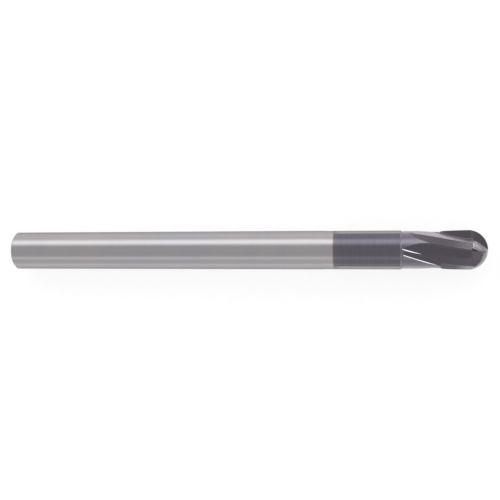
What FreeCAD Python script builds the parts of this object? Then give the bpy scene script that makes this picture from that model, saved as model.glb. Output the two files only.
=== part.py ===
import FreeCAD
import Part
import math
import os

# Extra-long ball-nose end mill: a steel shank, a carbide cutting head and the braze that joins them.
# Millimetres. The tool's axis is X, with the origin at the centre of the shank's rear end face and
# the ball's tip at x = LENGTH. Angles are in degrees about +X, from +Y towards +Z.

V = FreeCAD.Vector
AXIS = V(1, 0, 0)

# ---- driving dimensions ----
DIAMETER = 12.0             # shank and cutting diameter
LENGTH = 151.0              # overall length
REAR_CHAMFER = 0.42         # 45 degree chamfer on the shank's rear edge
NECK_START = LENGTH - 49.6  # where the reduced neck's lead-in cone begins
NECK_LEAD_IN = 0.6          # length of that cone
NECK_DIAMETER = 11.90
JOINT_X = LENGTH - 25.65    # front end face of the shank
JOINT_GAP = 0.20            # braze thickness between the two end faces
JOINT_BEVEL = 0.15          # bevel on both rims at the joint, which the braze fillet fills
SHOULDER_DIAMETER = 11.51   # plain part of the head, behind the cutting teeth
TOOTH_START = LENGTH - 14.3  # the shoulder rises from here ...
TOOTH_FULL = LENGTH - 12.7  # ... to the full cutting diameter here
SPIGOT_DIAMETER = 7.0
SPIGOT_LENGTH = 12.0
SPIGOT_CHAMFER = 0.5
BRAZE_GAP = 0.05            # radial braze thickness round the spigot
SOCKET_END_GAP = 0.3        # braze pool under the spigot

# ---- cutting geometry ----
TEETH = 4
HELIX_ANGLE = 9.8           # right-hand helix, measured at the cutting diameter
INDEX_X = LENGTH - 5.14     # where tooth 0's edge lies along +Y
RAKE_OFFSET = -0.10         # rake face's distance ahead of the tooth's radial line
ROOT_FILLET = 0.6
FILLET_SHARE = 0.45         # of a narrow floor, the most that the fillet takes
LEAST_WIDTH = 0.15          # floor's width where a groove starts
CORE_X = LENGTH - 6.5       # grooves and heel flats keep their depth from here forward

# Groove ahead of each tooth: a flat floor that doesn't turn with the helix. The far wall starts at
# the reach, which is measured along the floor from under the axis.
GROOVE_NORMAL = -2.0        # floor's normal, from +Y for tooth 0
GROOVE_WALL = -24.0         # far wall's normal, from the floor's
GROOVE_X = LENGTH - 23.1    # depths and reaches are worked out from here
GROOVE_DEPTH = 5.44         # floor's distance from the axis there
GROOVE_SLOPE = 0.12         # ... and how it comes nearer to the axis going forward
GROOVE_BEND = 0.0020
GROOVE_CORE = 2.95          # its distance at the ball
LONG_START = LENGTH - 25.2  # rear end of the long grooves, ahead of teeth 1 and 3
LONG_RUN = 9.2              # their rake walls swing back onto the teeth over this length ...
LONG_SWING = 2.758          # ... from this far ahead
LONG_REACH = 0.465
LONG_WIDENS = 0.285         # reach gained per mm
SHORT_START = LENGTH - 15.0  # rear end, out in the air, of the short grooves, ahead of teeth 0 and 2
SHORT_FULL = LENGTH - 12.7  # they come near their full depth here
SHORT_SLOPE = 0.66
SHORT_ROUNDNESS = 1.5       # size of the rounded corner between the slope and the floor

# Heel flat ahead of each groove, on the back of the next tooth.
HEEL_NORMAL = 16.5
HEEL_WALL = -42.5
HEEL_START = LENGTH - 24.9
HEEL_DEPTH = 5.62           # its distance from the axis at the rear
HEEL_REACH = 0.555
HEEL_WIDENS = 0.354
HEEL_DEEPENS = LENGTH - 21.9  # it slopes in from about here ...
HEEL_SLOPE = 0.155
HEEL_EASES = LENGTH - 16.5  # ... and a little less from here
HEEL_EASE = 0.0515
HEEL_TWIST_X = LENGTH - 13.5  # from here it turns a little with the helix, in degrees per mm
HEEL_TWIST = 0.45
HEEL_HOLDS = CORE_X + 1.5   # and from here forward it keeps its shape
HEEL_ROUNDNESS = 1.0        # size of the rounded corners where its slope or twist changes

# Relief: start, where the wheel is fully in, and its slope up to there.
RELIEF_ANGLE = 28.0         # clearance of the land behind each edge
RELIEF_BEHIND = 4.0         # the relief wheel reaches this far behind the edge's normal ...
RELIEF_AHEAD = 3.0          # ... and this far ahead
RELIEF_END = LENGTH - 4.5
LONG_RELIEF = (LENGTH - 23.8, LENGTH - 16.9, 0.10)
SHORT_RELIEF = (LENGTH - 14.6, LENGTH - 13.0, 0.35)

# Ball nose.
BALL_RELIEF = 0.8           # offset of each ball land's relief sphere from the ball's centre
BALL_RELIEF_TILT = 43.0     # slant of that land's rear end ...
BALL_RELIEF_X = LENGTH - 4.49  # ... which crosses the axis here
GASH_X = LENGTH - 5.0       # rear end of the ball gashes
GASH_RUN = 1.9              # length of the slope down into the deeper gashes
LONG_GASH_RAKE = (0.04, 0.0)     # teeth 0 and 2: offset at GASH_X, and slope
SHORT_GASH_RAKE = (-0.62, 0.40)  # teeth 1 and 3
LONG_GASH_FLOOR = (3.4, -0.70, 0.0, 0.0)  # radius at GASH_X, slope, tilt, and drop over GASH_RUN
SHORT_GASH_FLOOR = (2.0, 0.256, 0.05, 0.95)
LAND_END = LENGTH - 10.0    # the ball lands of teeth 1 and 3 stay ahead of this

LOFT_STEP = 1.3             # greatest distance between a groove's sections
FACET_STEP = 0.8            # and between a relief facet's

RADIUS = DIAMETER / 2
SHOULDER_RADIUS = SHOULDER_DIAMETER / 2
BALL_X = LENGTH - RADIUS
TURN_PER_MM = math.degrees(math.tan(math.radians(HELIX_ANGLE)) / RADIUS)
HEAD_X = JOINT_X + JOINT_GAP
CUT_X = LENGTH + 1.0        # the cutting solids reach past the tip
FAR = 10.0                  # and this far from the axis


def unit(angle):
    """Unit vector in a section, as (radial, ahead) in a tooth's own frame."""
    return math.cos(math.radians(angle)), math.sin(math.radians(angle))


def along(start, direction, distance):
    """Point at a distance from start, in a direction in degrees."""
    du, dv = unit(direction)
    return start[0] + du * distance, start[1] + dv * distance


def blank_radius(x):
    """Radius of the ground blank at x, up to the ball's centre."""
    rise = min(max((x - TOOTH_START) / (TOOTH_FULL - TOOTH_START), 0.0), 1.0)
    return SHOULDER_RADIUS + rise * (RADIUS - SHOULDER_RADIUS)


def tooth_angle(x):
    """Turn of tooth 0's edge about the axis at x."""
    return TURN_PER_MM * (x - INDEX_X)


def place(x, point, turn):
    """A section's (radial, ahead) point as a vector, turned about the axis."""
    c, s = unit(turn)
    u, v = point
    return V(x, u * c - v * s, u * s + v * c)


def section(x, points, turn):
    """Closed straight-sided wire in the plane at x."""
    corners = [place(x, p, turn) for p in points]
    return Part.makePolygon(corners + corners[:1])


def stations(first, last, step):
    count = max(2, round((last - first) / step) + 1)
    return [first + (last - first) * i / (count - 1) for i in range(count)]


def ramp(value, roundness):
    """Zero below zero and value above it, with a rounded corner."""
    return (math.hypot(value, roundness) + value) / 2


def turned(shape, angle):
    copy = shape.copy()
    copy.rotate(V(0, 0, 0), AXIS, angle)
    return copy


# ---- grooves and heel flats: a rake wall, a root fillet, a flat floor and a far wall ----
def groove_wire(x, normal, depth, rake, reach, wall):
    """Groove section at x, in the tooth's frame.

    The floor is depth from the axis along normal, an angle fixed in the tool, and ends reach ahead of
    it, where the far wall starts. That wall faces wall degrees ahead of normal.
    """
    lean = normal - tooth_angle(x)
    floor = lean + 90.0
    root = ((depth - rake * unit(lean)[1]) / unit(lean)[0], rake)
    width = max(reach - root[0] * unit(floor)[0] - root[1] * unit(floor)[1], LEAST_WIDTH)
    foot = along(root, floor, width)
    half = floor / 2
    tangent = min(ROOT_FILLET / math.tan(math.radians(half)), FILLET_SHARE * width)
    fillet = tangent * math.tan(math.radians(half))
    middle = along(root, half, fillet / unit(90.0 - half)[0] - fillet)
    path = [
        along(root, floor, tangent),
        foot,
        along(foot, lean + wall + 90.0, FAR / 2),
        along((0, 0), lean, FAR + RADIUS),
        (FAR, rake),
        (root[0] + tangent, rake),
    ]
    turn = tooth_angle(x)
    spots = [place(x, p, turn) for p in path]
    edges = [Part.LineSegment(a, b).toShape() for a, b in zip(spots, spots[1:])]
    edges.append(Part.Arc(spots[-1], place(x, middle, turn), spots[0]).toShape())
    return Part.Wire(edges)


def groove(start, state):
    """Cutting solids through the groove sections that state(x) describes, from start to past the tip."""
    spans = [stations(start, CORE_X, LOFT_STEP), stations(CORE_X, CUT_X, LOFT_STEP)]
    return [Part.makeLoft([groove_wire(x, *state(x)) for x in span], True, False) for span in spans]


def floor_depth(x):
    ahead = x - GROOVE_X
    return max(GROOVE_DEPTH - GROOVE_SLOPE * ahead - GROOVE_BEND * ahead ** 2, GROOVE_CORE)


def long_rake(x):
    """Rake wall's offset on teeth 1 and 3: the wheel climbs out of the cut along a parabola."""
    left = 1.0 - min((x - LONG_START) / LONG_RUN, 1.0)
    return RAKE_OFFSET + LONG_SWING * left ** 2


def long_groove():
    def state(x):
        reach = LONG_REACH + LONG_WIDENS * (x - GROOVE_X)
        return GROOVE_NORMAL, floor_depth(x), long_rake(x), reach, GROOVE_WALL

    return groove(LONG_START - 0.1, state)


def short_groove():
    def state(x):
        lift = SHORT_SLOPE * ramp(SHORT_FULL - x, SHORT_ROUNDNESS)
        return GROOVE_NORMAL, floor_depth(x) + lift, RAKE_OFFSET, FAR, GROOVE_WALL

    return groove(SHORT_START, state)


def heel_flat(rake):
    """Heel flat whose near side is the rake wall at rake(x)."""
    def state(x):
        at = min(x, HEEL_HOLDS)
        depth = HEEL_DEPTH - HEEL_SLOPE * ramp(at - HEEL_DEEPENS, 2 * HEEL_ROUNDNESS)
        depth += HEEL_EASE * ramp(at - HEEL_EASES, HEEL_ROUNDNESS)
        normal = HEEL_NORMAL + HEEL_TWIST * ramp(at - HEEL_TWIST_X, HEEL_ROUNDNESS)
        reach = HEEL_REACH + HEEL_WIDENS * (at - GROOVE_X)
        return normal, depth, rake(x), reach, HEEL_WALL

    return groove(HEEL_START, state)


# ---- relief behind the edges ----
def relief_facet(start, full, slope):
    """Clearance facet behind an edge; it runs out of the blank by itself on both sides."""
    wires = []
    n = unit(-RELIEF_ANGLE)
    m = unit(90.0 - RELIEF_ANGLE)
    for x in stations(start, RELIEF_END, FACET_STEP):
        depth = blank_radius(x) * n[0] + slope * max(full - x, 0.0)
        back, front = -RELIEF_BEHIND, RELIEF_AHEAD
        corners = [(depth, back), (FAR, back), (FAR, front), (depth, front)]
        points = [(a * n[0] + b * m[0], a * n[1] + b * m[1]) for a, b in corners]
        wires.append(section(x, points, tooth_angle(x)))
    return Part.makeLoft(wires, True, False)


# ---- ball nose: gashes and relieved lands ----
def gash(rake, floor):
    """Wedge ahead of a ball edge: a rake wall and a flat floor, behind it a slope down to a deep one."""
    radius, slope, tilt, drop = floor
    wires = []
    for x, lift in ((GASH_X, drop), (GASH_X + GASH_RUN, 0.0), (CUT_X, 0.0)):
        wall = rake[0] + rake[1] * (x - GASH_X)
        low = radius + slope * (x - GASH_X) + lift
        points = [(low + tilt * wall, wall), (FAR, wall), (FAR, FAR), (low + tilt * FAR, FAR)]
        wires.append(section(x, points, 0.0))
    return Part.makeLoft(wires, True, True)


def ball_relief():
    """Everything outside the offset relief sphere of tooth 0, from a slanted start to the tip."""
    box = Part.makeBox(FAR, 2 * FAR, 2 * FAR, V(0, -FAR, -FAR))
    box.rotate(V(0, 0, 0), V(0, 1, 0), BALL_RELIEF_TILT)
    box.translate(V(BALL_RELIEF_X, 0, 0))
    radius = math.hypot(RADIUS, BALL_RELIEF)
    ball = Part.makeSphere(radius, V(BALL_X, 0, BALL_RELIEF))
    barrel = Part.makeCylinder(radius, RADIUS, V(BALL_X - RADIUS, 0, BALL_RELIEF), AXIS)
    return box.cut(ball.fuse(barrel))


def ahead_of_rake(rake, start):
    """Half space ahead of tooth 0's ball rake plane, from start forward."""
    wires = []
    for x in (start, CUT_X):
        wall = rake[0] + rake[1] * (x - GASH_X)
        wires.append(section(x, [(-FAR, wall), (FAR, wall), (FAR, FAR), (-FAR, FAR)], 0.0))
    return Part.makeLoft(wires, True, True)


# ---- pieces ----
def revolve(profile):
    """Solid of revolution about X from (x, r) points."""
    points = [V(x, r, 0) for x, r in profile]
    face = Part.Face(Part.makePolygon(points + points[:1]))
    return face.revolve(V(0, 0, 0), AXIS, 360)


def head_blank():
    x0 = HEAD_X - SPIGOT_LENGTH
    r = SPIGOT_DIAMETER / 2
    top = V(BALL_X, RADIUS, 0)
    tip = V(LENGTH, 0, 0)
    middle = V(BALL_X + RADIUS * unit(45.0)[0], RADIUS * unit(45.0)[1], 0)
    outline = [
        V(x0, 0, 0),
        V(x0, r - SPIGOT_CHAMFER, 0),
        V(x0 + SPIGOT_CHAMFER, r, 0),
        V(HEAD_X, r, 0),
        V(HEAD_X, SHOULDER_RADIUS - JOINT_BEVEL, 0),
        V(HEAD_X + JOINT_BEVEL, SHOULDER_RADIUS, 0),
        V(TOOTH_START, SHOULDER_RADIUS, 0),
        V(TOOTH_FULL, RADIUS, 0),
        top,
    ]
    edges = [Part.LineSegment(a, b).toShape() for a, b in zip(outline, outline[1:])]
    edges.append(Part.Arc(top, middle, tip).toShape())
    edges.append(Part.LineSegment(tip, outline[0]).toShape())
    return Part.Face(Part.Wire(edges)).revolve(V(0, 0, 0), AXIS, 360)


def tooth_cutters():
    """Cutting solids for tooth 0 as a short-groove tooth, and for tooth 0 as a long-groove tooth."""
    ball = ball_relief()
    # each ball land stops at the rake plane of the tooth behind it, which is of the other kind
    behind_short = turned(ahead_of_rake(SHORT_GASH_RAKE, GASH_X), -360.0 / TEETH)
    behind_long = turned(ahead_of_rake(LONG_GASH_RAKE, LAND_END), -360.0 / TEETH)
    short = short_groove() + heel_flat(lambda x: RAKE_OFFSET)
    short += [gash(LONG_GASH_RAKE, LONG_GASH_FLOOR), relief_facet(*SHORT_RELIEF), ball.common(behind_short)]
    long = long_groove() + heel_flat(long_rake)
    long += [gash(SHORT_GASH_RAKE, SHORT_GASH_FLOOR), relief_facet(*LONG_RELIEF), ball.common(behind_long)]
    return short, long


def cutting_head():
    head = head_blank()
    kinds = tooth_cutters()
    for tooth in range(TEETH):
        for cutter in kinds[tooth % 2]:
            head = head.cut(turned(cutter, tooth * 360.0 / TEETH))
    return max(head.Solids, key=lambda solid: solid.Volume)


def shank():
    neck = NECK_DIAMETER / 2
    bore = SPIGOT_DIAMETER / 2 + BRAZE_GAP
    floor = HEAD_X - SPIGOT_LENGTH - SOCKET_END_GAP
    profile = [
        (0, 0),
        (0, RADIUS - REAR_CHAMFER),
        (REAR_CHAMFER, RADIUS),
        (NECK_START, RADIUS),
        (NECK_START + NECK_LEAD_IN, neck),
        (JOINT_X - JOINT_BEVEL, neck),
        (JOINT_X, neck - JOINT_BEVEL),
        (JOINT_X, bore),
        (floor, bore),
        (floor, 0),
    ]
    return revolve(profile)


def braze_filler():
    """Braze: the pool under the spigot, the sleeve round it, the face joint and its rim."""
    neck = NECK_DIAMETER / 2
    spigot = SPIGOT_DIAMETER / 2
    bore = spigot + BRAZE_GAP
    x0 = HEAD_X - SPIGOT_LENGTH
    floor = x0 - SOCKET_END_GAP
    profile = [
        (floor, 0),
        (floor, bore),
        (JOINT_X, bore),
        (JOINT_X, neck - JOINT_BEVEL),
        (JOINT_X - JOINT_BEVEL / 2, neck - JOINT_BEVEL / 2),
        (HEAD_X + JOINT_BEVEL / 2, SHOULDER_RADIUS - JOINT_BEVEL / 2),
        (HEAD_X, SHOULDER_RADIUS - JOINT_BEVEL),
        (HEAD_X, spigot),
        (x0 + SPIGOT_CHAMFER, spigot),
        (x0, spigot - SPIGOT_CHAMFER),
        (x0, 0),
    ]
    return revolve(profile)


def main():
    os.makedirs("parts", exist_ok=True)
    pieces = {"shank": shank(), "braze_filler": braze_filler(), "cutting_head": cutting_head()}
    for name, shape in pieces.items():
        print(name, shape.isValid(), len(shape.Solids), round(shape.Volume, 2), len(shape.Faces))
        shape.exportStep(f"parts/{name}.step")


main()
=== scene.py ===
import math
import bpy
from mathutils import Matrix, Vector


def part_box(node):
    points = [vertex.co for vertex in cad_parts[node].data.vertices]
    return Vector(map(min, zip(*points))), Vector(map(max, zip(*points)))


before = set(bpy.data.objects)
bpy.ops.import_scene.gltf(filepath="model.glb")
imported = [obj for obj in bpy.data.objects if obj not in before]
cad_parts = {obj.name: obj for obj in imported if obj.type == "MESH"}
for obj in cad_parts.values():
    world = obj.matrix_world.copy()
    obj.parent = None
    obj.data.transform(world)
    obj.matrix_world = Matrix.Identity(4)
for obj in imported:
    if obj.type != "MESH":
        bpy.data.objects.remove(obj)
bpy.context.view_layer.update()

# Ball-nose end mill: finishes for the three CAD nodes, a white backlit floor, a studio and a camera.
# Places and lengths are in millimetres and become metres where Blender takes them. The tool lies
# along X, with its tip at TIP_X.
MM = 0.001

# ---- places, all from the frame ----
TIP_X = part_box("cutting_head")[1][0] / MM
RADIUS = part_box("shank")[1][2] / MM
BALL_X = TIP_X - RADIUS         # the ball's centre
GASH_X = TIP_X - 5.0            # rear end of the ball gashes
WALLS_END = TIP_X - 14.2        # the long grooves' far walls run out near here, where the teeth begin
COATING_X = TIP_X - 46.0        # the coating starts here, on the neck
SHOULDER_RADIUS = 5.755         # of the head's plain part

# ---- camera: nearly straight above the head, leaning back along the shank ----
LOOK_AT = (TIP_X - 72.69, 0.06, 0.0)
CAMERA_DISTANCE = 278.5
CAMERA_LEAN = 10.94             # degrees
CAMERA_ROLL = -0.10
LENS = 63.61
SENSOR = 36.0
NEAREST = 10.0                  # clipping distance

# ---- light ----
CEILING = 0.66                  # brightness all round
WORLD_TINT = (1.0, 0.985, 1.0, 1)
# Softboxes: bands that start, are full, fade and end at these angles from straight up, in degrees
# towards +Y, and the brightness that each adds.
SOFTBOXES = [
    (24, 49, 54, 78, 1.20),
    (52, 78, 180, 181, 0.31),
    (-66, -52, -47, -33, 0.36),
    (-181, -180, -72, -56, 0.13),
]
BACKDROP = 0.96                 # plain backdrop that the camera sees instead of the softboxes
FLOOR_SIZE = 6000.0
FLOOR_GLOW = 0.81

# ---- tints ----
STEEL_COOL = (0.42, 0.41, 0.43, 1)
STEEL_WARM = (0.44, 0.425, 0.425, 1)
STEEL_DARK = (0.35, 0.34, 0.35, 1)
COAT_DARK = (0.140, 0.134, 0.158, 1)
COAT_LIGHT = (0.158, 0.150, 0.176, 1)
COAT_HEAD = (0.128, 0.116, 0.136, 1)
COAT_HEAD_DARK = (0.108, 0.097, 0.114, 1)
COAT_BLUE = (0.140, 0.130, 0.172, 1)
FRINGE = (0.20, 0.165, 0.165, 1)        # tempered edge of the coating
PAINTED_GLANCING_SHEEN = (0.40, 0.385, 0.38, 1)       # painted sheen: the coating drawn lighter at glancing angles, standing in for its reflection there
SHOULDER_DARK = (0.160, 0.152, 0.182, 1)
SHOULDER_LIGHT = (0.225, 0.215, 0.26, 1)
LAND = (0.24, 0.232, 0.252, 1)
GASH = (0.170, 0.163, 0.172, 1)
BARE_CARBIDE = (0.45, 0.44, 0.46, 1)
# bare carbide lightened into a painted highlight: on the grooves' far walls, and on the ball's worn edges
HIGHLIGHT_AND_BARE_CARBIDE = (0.62, 0.61, 0.64, 1)
BRAZE_DULL = (0.17, 0.155, 0.16, 1)
BRAZE_LIGHT = (0.32, 0.30, 0.30, 1)
BRAZE_STAIN = (0.28, 0.20, 0.15, 1)
EDGE_TINT = (0.55, 0.55, 0.55, 1)       # ground steel loses some of its shine at glancing angles
FLOOR_GREY = (0.24, 0.24, 0.24, 1)
FLOOR_LIGHT = (0.26, 0.26, 0.26, 1)
WHITE = (1, 1, 1, 1)

# ---- wear, surface marks and painted highlights ----
SHANK_WEAR = 0.15               # reach of the worn edges
HEAD_WEAR = 0.07
BRAZE_WEAR = 0.05
NOSE_WEAR_AND_HIGHLIGHT = 0.25                # reach of the ball's worn edges, which also carry a painted highlight
SHANK_MARKS = 0.006             # height of the grinding marks
HEAD_MARKS = 0.008
BRAZE_GRAIN = 0.01
FLOOR_GRAIN = 0.1
PAINTED_HIGHLIGHT_FACING = 64.0              # painted highlight: the long grooves' far walls that face this way, in degrees from +Y to +Z, are drawn bright


def add_camera():
    lean = Matrix.Rotation(math.radians(CAMERA_LEAN), 4, "Y")
    roll = Matrix.Rotation(math.radians(CAMERA_ROLL), 4, "Z")
    target = Matrix.Translation(Vector(LOOK_AT) * MM)
    back = Matrix.Translation(Vector((0, 0, CAMERA_DISTANCE)) * MM)
    data = bpy.data.cameras.new("camera")
    data.lens = LENS
    data.sensor_width = SENSOR
    data.clip_start = NEAREST * MM
    camera = bpy.data.objects.new("camera", data)
    camera.matrix_world = target @ lean @ roll @ back
    bpy.context.collection.objects.link(camera)
    bpy.context.scene.camera = camera


# ---- node helpers ----
class Nodes:
    """Small helper for building the node tree of one material or world."""

    def __init__(self, owner):
        owner.use_nodes = True
        self.owner = owner
        self.tree = owner.node_tree
        self.shader = self.tree.nodes.get("Principled BSDF")

    def add(self, kind, inputs=None, **settings):
        node = self.tree.nodes.new(kind)
        for key, value in settings.items():
            setattr(node, key, value)
        for key, value in (inputs or {}).items():
            self.feed(node, key, value)
        return node

    def feed(self, node, key, value):
        if isinstance(value, bpy.types.NodeSocket):
            self.tree.links.new(value, node.inputs[key])
        else:
            node.inputs[key].default_value = value

    def math(self, operation, a, b=0.0):
        return self.add("ShaderNodeMath", {0: a, 1: b}, operation=operation).outputs[0]

    def product(self, *factors):
        out = factors[0]
        for factor in factors[1:]:
            out = self.math("MULTIPLY", out, factor)
        return out

    def vector(self, operation, a, b=(0, 0, 0)):
        return self.add("ShaderNodeVectorMath", {0: a, 1: b}, operation=operation).outputs

    def ramp(self, value, low, high, to_low=0.0, to_high=1.0):
        inputs = {"Value": value, "From Min": low, "From Max": high, "To Min": to_low, "To Max": to_high}
        return self.add("ShaderNodeMapRange", inputs, interpolation_type="SMOOTHSTEP").outputs[0]

    def mix(self, factor, a, b):
        node = self.add("ShaderNodeMix", data_type="RGBA")
        self.feed(node, 0, factor)
        self.feed(node, 6, a)
        self.feed(node, 7, b)
        return node.outputs[2]

    def noise(self, vector, scale=1.0, detail=3.0):
        inputs = {"Vector": vector, "Scale": scale, "Detail": detail}
        return self.add("ShaderNodeTexNoise", inputs).outputs[0]

    def stretch(self, vector, factors):
        return self.vector("MULTIPLY", vector, factors)["Vector"]

    def split(self, vector):
        return self.add("ShaderNodeSeparateXYZ", {0: vector}).outputs

    def spot(self):
        """Object coordinates in millimetres."""
        return self.stretch(self.add("ShaderNodeTexCoord").outputs["Object"], (1 / MM, 1 / MM, 1 / MM))

    def face(self):
        """The surface's own normal."""
        return self.add("ShaderNodeNewGeometry").outputs["Normal"]

    def from_axis(self, spot):
        """Part of a place, in millimetres, that points out from the tool's axis."""
        return self.stretch(spot, (0, 1, 1))

    def bump(self, height, strength, depth):
        inputs = {"Height": height, "Strength": strength, "Distance": depth * MM}
        return self.add("ShaderNodeBump", inputs).outputs[0]

    def finish(self, color, roughness, normal, metallic=1.0, **constants):
        """Feed the shader. The constants are set on its own sockets, by their names in lower case."""
        self.feed(self.shader, "Base Color", color)
        self.feed(self.shader, "Roughness", roughness)
        self.feed(self.shader, "Normal", normal)
        self.shader.inputs["Metallic"].default_value = metallic
        for key, value in constants.items():
            self.shader.inputs[key.replace("_", " ").title()].default_value = value
        return self.owner


def edge_mask(n, reach, low, high):
    """1 along the sharp edges: where a normal rounded over reach differs from the face's own."""
    rounded = n.add("ShaderNodeBevel", {"Radius": reach * MM}, samples=8).outputs[0]
    same = n.vector("DOT_PRODUCT", rounded, n.face())["Value"]
    return n.ramp(same, high, low)


def painted_glancing_sheen(n):
    """1 at glancing angles, where a painted sheen makes the coating as light as bare metal."""
    return n.ramp(n.add("ShaderNodeLayerWeight", {"Blend": 0.5}).outputs["Facing"], 0.43, 0.54)


# ---- shank ----
def shank_material():
    """Ground steel; from COATING_X on, the dark coating with a brown tempered fringe at its start."""
    n = Nodes(bpy.data.materials.new("ground_shank"))
    spot = n.spot()
    rings = n.noise(n.stretch(spot, (16.0, 0.3, 0.3)), detail=4.0)
    streaks = n.noise(n.stretch(spot, (3.0, 0.15, 0.15)), detail=2.0)
    patches = n.noise(spot, 0.12, 2.0)
    steel = n.mix(n.ramp(patches, 0.3, 0.7), STEEL_COOL, STEEL_WARM)
    steel = n.mix(n.ramp(rings, 0.4, 0.75, 0.0, 0.3), steel, STEEL_DARK)
    coat = n.mix(n.ramp(streaks, 0.3, 0.7), COAT_DARK, COAT_LIGHT)
    # painted sheen: the coating's colour is made lighter at glancing angles
    coat = n.mix(painted_glancing_sheen(n), coat, PAINTED_GLANCING_SHEEN)
    wavy = n.math("ADD", n.split(spot)[0], n.math("MULTIPLY", n.noise(spot, 0.8, 2.0), 0.35))
    coated = n.ramp(wavy, COATING_X - 0.1, COATING_X + 0.5)
    fringe = n.product(
        n.ramp(wavy, COATING_X - 0.2, COATING_X + 0.3),
        n.ramp(wavy, COATING_X + 0.2, COATING_X + 2.2, 1.0, 0.0),
    )
    color = n.mix(coated, steel, coat)
    color = n.mix(n.math("MULTIPLY", fringe, 0.5), color, FRINGE)
    worn = edge_mask(n, SHANK_WEAR, 0.90, 0.99)
    color = n.mix(n.math("MULTIPLY", worn, 0.25), color, STEEL_COOL)
    rough = n.math("ADD", n.ramp(rings, 0.2, 0.8, 0.13, 0.21), n.ramp(patches, 0.3, 0.7, 0.0, 0.03))
    normal = n.bump(n.math("ADD", rings, streaks), 0.2, SHANK_MARKS)
    return n.finish(color, rough, normal, specular_tint=EDGE_TINT)


# ---- cutting head: the masks are worked out from a place on the tool and the way its surface faces ----
def painted_highlight_wall_mask(n, x, spot):
    """1 on the long grooves' far walls, where a highlight is painted."""
    face = n.face()
    y, z = n.split(face)[1:]
    facing = n.math("MULTIPLY", n.math("ARCTAN2", z, y), math.degrees(1.0))
    turn = n.math("FLOORED_MODULO", n.math("SUBTRACT", facing, PAINTED_HIGHLIGHT_FACING - 90.0), 180.0)
    off = n.math("ABSOLUTE", n.math("SUBTRACT", turn, 90.0))
    outward = n.vector("NORMALIZE", n.from_axis(spot))["Vector"]
    radial = n.vector("DOT_PRODUCT", face, outward)["Value"]
    return n.product(
        n.ramp(off, 3.0, 6.0, 1.0, 0.0),
        n.ramp(radial, 0.93, 0.97, 1.0, 0.0),
        n.ramp(x, WALLS_END - 0.2, WALLS_END + 0.2, 1.0, 0.0),
    )


def shoulder_mask(n, x, spot):
    """1 on the head's plain ground surface, behind the teeth and outside every cut."""
    out = n.vector("LENGTH", n.from_axis(spot))["Value"]
    return n.product(
        n.ramp(out, SHOULDER_RADIUS - 0.025, SHOULDER_RADIUS - 0.008),
        n.ramp(x, WALLS_END - 0.8, WALLS_END + 0.4, 1.0, 0.0),
    )


def nose_mask(n, x, spot):
    """1 on the ball's relieved lands: near its surface, and facing almost straight out from its centre."""
    arm = n.vector("SUBTRACT", spot, (BALL_X, 0, 0))["Vector"]
    out = n.vector("NORMALIZE", arm)["Vector"]
    same = n.vector("DOT_PRODUCT", n.face(), out)["Value"]
    away = n.vector("LENGTH", arm)["Value"]
    return n.product(
        n.ramp(same, 0.90, 0.96),
        n.ramp(away, RADIUS - 1.1, RADIUS - 0.8),
        n.ramp(x, GASH_X + 0.1, GASH_X + 0.6),
    )


def gash_mask(n, x):
    """1 on the deeper gashes' floors, which face up or down and slope along the tool."""
    slope, _, up = n.split(n.face())
    return n.product(
        n.ramp(n.math("ABSOLUTE", up), 0.80, 0.88),
        n.ramp(n.math("ABSOLUTE", slope), 0.08, 0.16),
        n.ramp(x, GASH_X - 0.05, GASH_X + 0.05),
    )


def head_material():
    """Coated carbide with fine grinding marks, brighter lands, painted highlights on the grooves' far
    walls and the ball's edges, a painted sheen at glancing angles, and bare wear along the edges.
    """
    n = Nodes(bpy.data.materials.new("coated_carbide"))
    spot = n.spot()
    x = n.split(spot)[0]
    marks = n.noise(n.stretch(spot, (9.0, 0.8, 0.8)), detail=4.0)
    cross = n.noise(n.stretch(spot, (0.7, 7.0, 7.0)))
    grain = n.noise(spot, 6.0)
    color = n.mix(n.ramp(grain, 0.35, 0.65), COAT_HEAD_DARK, COAT_HEAD)
    color = n.mix(n.ramp(cross, 0.4, 0.75, 0.0, 0.35), color, COAT_BLUE)
    color = n.mix(gash_mask(n, x), color, GASH)
    ground = n.mix(n.ramp(marks, 0.3, 0.7), SHOULDER_DARK, SHOULDER_LIGHT)
    color = n.mix(shoulder_mask(n, x, spot), color, ground)
    # painted sheen, at 60% strength: the coating's colour is made lighter at glancing angles
    color = n.mix(n.math("MULTIPLY", painted_glancing_sheen(n), 0.6), color, PAINTED_GLANCING_SHEEN)
    color = n.mix(nose_mask(n, x, spot), color, LAND)
    chipped = n.product(edge_mask(n, HEAD_WEAR, 0.86, 0.985), n.ramp(grain, 0.35, 0.6, 0.45, 0.9))
    color = n.mix(chipped, color, BARE_CARBIDE)
    # the ball's edges: bare worn carbide, lightened further into a painted highlight
    nose_wear_and_highlight = n.product(edge_mask(n, NOSE_WEAR_AND_HIGHLIGHT, 0.86, 0.98), n.ramp(x, GASH_X, GASH_X + 0.6), 0.85)
    color = n.mix(nose_wear_and_highlight, color, HIGHLIGHT_AND_BARE_CARBIDE)
    # painted highlight along the long grooves' far walls
    color = n.mix(painted_highlight_wall_mask(n, x, spot), color, HIGHLIGHT_AND_BARE_CARBIDE)
    rough = n.ramp(n.math("ADD", marks, cross), 0.6, 1.4, 0.15, 0.27)
    normal = n.bump(n.math("ADD", marks, cross), 0.22, HEAD_MARKS)
    return n.finish(color, rough, normal, sheen_weight=0.5, sheen_roughness=0.3)


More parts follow.
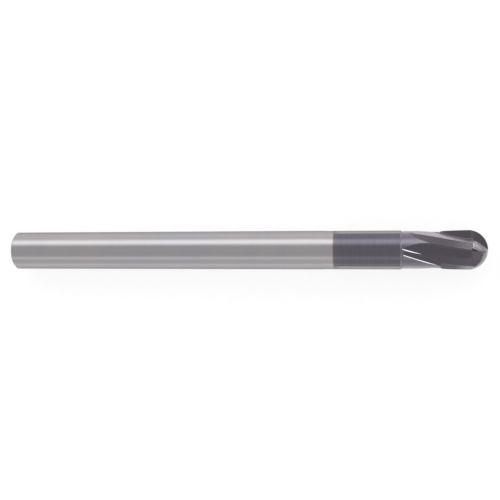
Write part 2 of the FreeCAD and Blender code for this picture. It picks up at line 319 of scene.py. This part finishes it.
# ---- braze ----
def braze_material():
    """Silver braze with a slightly grainy skin and a few dull flux stains."""
    n = Nodes(bpy.data.materials.new("silver_braze"))
    spot = n.spot()
    grain = n.noise(spot, 5.0, 4.0)
    stains = n.noise(spot, 1.2, 2.0)
    color = n.mix(n.ramp(grain, 0.3, 0.7), BRAZE_DULL, BRAZE_LIGHT)
    color = n.mix(n.ramp(stains, 0.5, 0.75, 0.0, 0.5), color, BRAZE_STAIN)
    worn = edge_mask(n, BRAZE_WEAR, 0.88, 0.99)
    color = n.mix(n.math("MULTIPLY", worn, 0.3), color, BARE_CARBIDE)
    return n.finish(color, n.ramp(grain, 0.2, 0.8, 0.2, 0.34), n.bump(grain, 0.3, BRAZE_GRAIN))


def give(node, material):
    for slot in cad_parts[node].material_slots:
        slot.material = material


# ---- floor and studio ----
def floor_material():
    """White backlit sheet: it glows, and takes a faint shadow where the tool rests."""
    n = Nodes(bpy.data.materials.new("pale_floor"))
    grain = n.noise(n.spot(), 0.5, 4.0)
    color = n.mix(n.ramp(grain, 0.3, 0.7), FLOOR_GREY, FLOOR_LIGHT)
    n.shader.inputs["Emission Color"].default_value = WHITE
    n.shader.inputs["Emission Strength"].default_value = FLOOR_GLOW
    n.shader.inputs["Specular IOR Level"].default_value = 0.0
    rough = n.ramp(grain, 0.2, 0.8, 0.6, 0.7)
    return n.finish(color, rough, n.bump(grain, 0.1, FLOOR_GRAIN), metallic=0.0)


def add_floor():
    place = Vector((TIP_X / 2, 0, -RADIUS)) * MM
    bpy.ops.mesh.primitive_plane_add(size=FLOOR_SIZE * MM, location=place)
    floor = bpy.context.object
    floor.name = "floor"
    floor.data.materials.append(floor_material())


def add_world():
    """Studio round the tool, lit by its softboxes. The camera sees a plain backdrop instead of them."""
    world = bpy.data.worlds.new("studio")
    n = Nodes(world)
    _, y, z = n.split(n.add("ShaderNodeTexCoord").outputs["Generated"])
    angle = n.math("MULTIPLY", n.math("ARCTAN2", y, z), math.degrees(1.0))
    glow = CEILING
    for start, full, fade, end, gain in SOFTBOXES:
        band = n.product(n.ramp(angle, start, full), n.ramp(angle, fade, end, 1.0, 0.0), gain)
        glow = n.math("ADD", band, glow)
    seen = n.add("ShaderNodeLightPath").outputs["Is Camera Ray"]
    change = n.math("MULTIPLY", seen, n.math("SUBTRACT", BACKDROP, glow))
    back = n.tree.nodes["Background"]
    n.feed(back, "Color", WORLD_TINT)
    n.feed(back, "Strength", n.math("ADD", change, glow))
    bpy.context.scene.world = world


add_camera()
add_floor()
add_world()
give("shank", shank_material())
give("cutting_head", head_material())
give("braze_filler", braze_material())
bpy.context.scene.view_settings.view_transform = "Standard"
